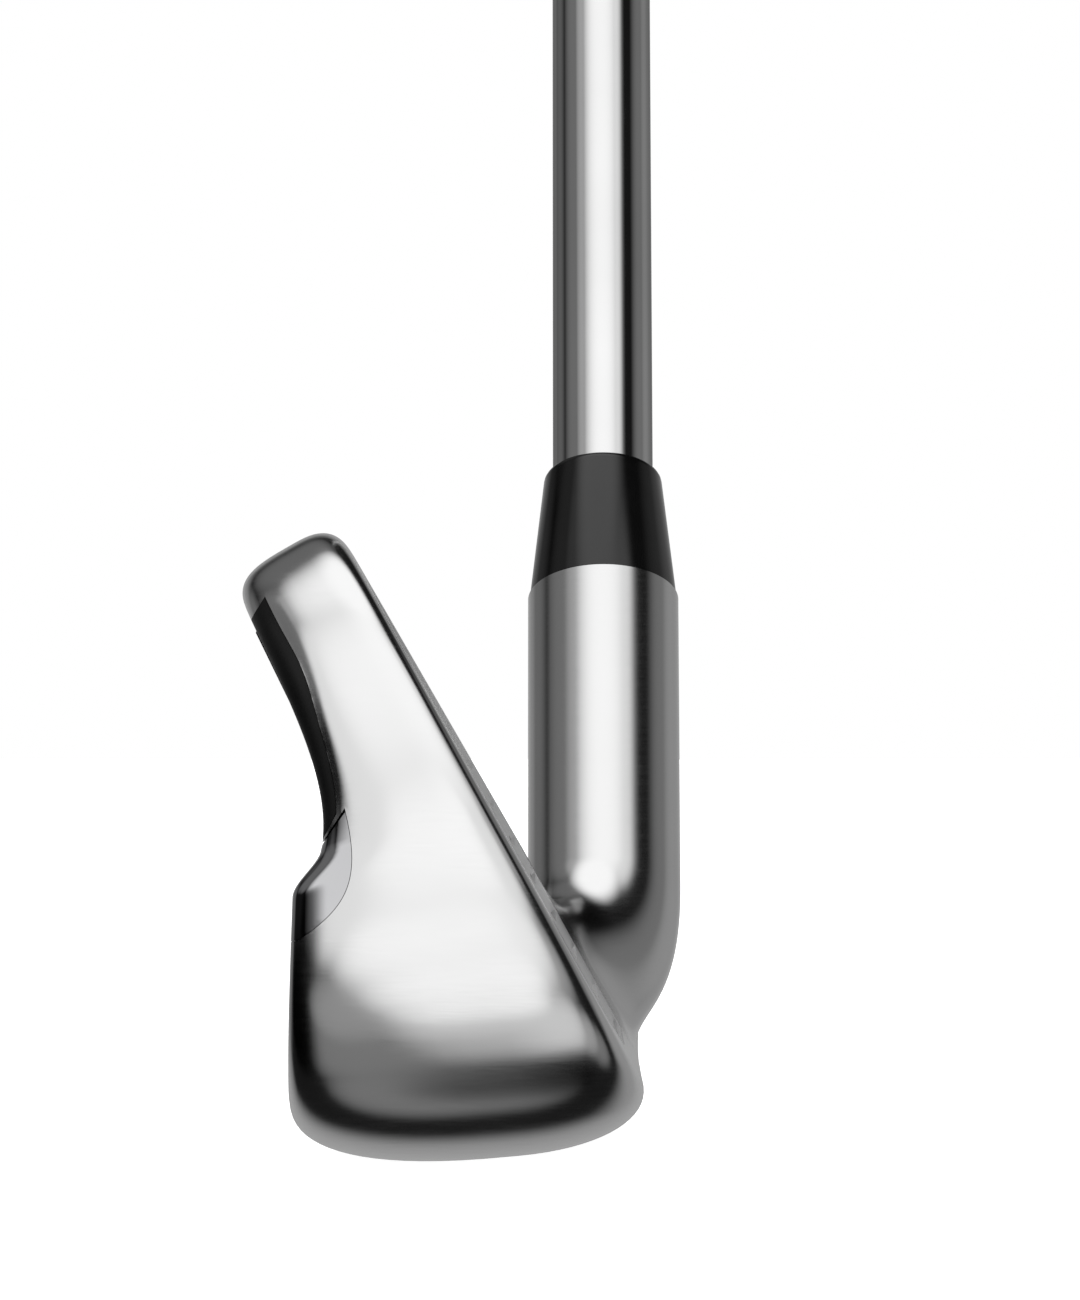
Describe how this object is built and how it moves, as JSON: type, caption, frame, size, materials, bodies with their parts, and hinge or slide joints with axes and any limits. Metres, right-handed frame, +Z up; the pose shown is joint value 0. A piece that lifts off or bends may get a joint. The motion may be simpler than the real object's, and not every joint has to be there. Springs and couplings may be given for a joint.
{
  "type": "iron golf club",
  "caption": "Right-handed mid iron: chromed cavity-back head with offset hosel, black ferrule, stepped steel shaft and tapered rubber grip, for striking a golf ball.",
  "frame": {"origin": "centre of the striking face, on the land between two score lines", "axes": "+X towards the target, +Y from toe to heel, +Z up with the club standing at address"},
  "size_m": [0.0436, 0.5255, 0.8359],
  "materials": {
    "satin_chrome": "cast steel, satin chrome plated",
    "plate_steel": "forged steel, fine blasted face with milled score lines",
    "badge_black": "black moulded badge",
    "plaque_silver": "brushed plaque",
    "tape_foam": "double-sided foam tape",
    "mirror_chrome": "mirror-polished chrome",
    "damper_elastomer": "cast elastomer",
    "tungsten": "sintered tungsten",
    "ferrule_black": "turned and polished black plastic",
    "epoxy_resin": "cured resin",
    "weight_brass": "turned brass",
    "shaft_chrome": "polished chrome on steel tube",
    "grip_rubber": "moulded black rubber with a fine tread",
    "cap_rubber": "moulded black rubber",
    "grip_tape": "paper masking tape with adhesive"
  },
  "bodies": {
    "root": {"head_body": "satin_chrome", "face_plate": "plate_steel", "badge_carrier": "badge_black", "badge_plaque": "plaque_silver", "badge_tape": "tape_foam", "muscle_trim": "mirror_chrome", "sound_damper": "damper_elastomer", "toe_weight": "tungsten", "ferrule": "ferrule_black", "hosel_epoxy": "epoxy_resin", "tip_weight": "weight_brass", "shaft": "shaft_chrome", "grip": "grip_rubber", "grip_cap": "cap_rubber", "grip_tape": "grip_tape"}
  },
  "joints": []
}
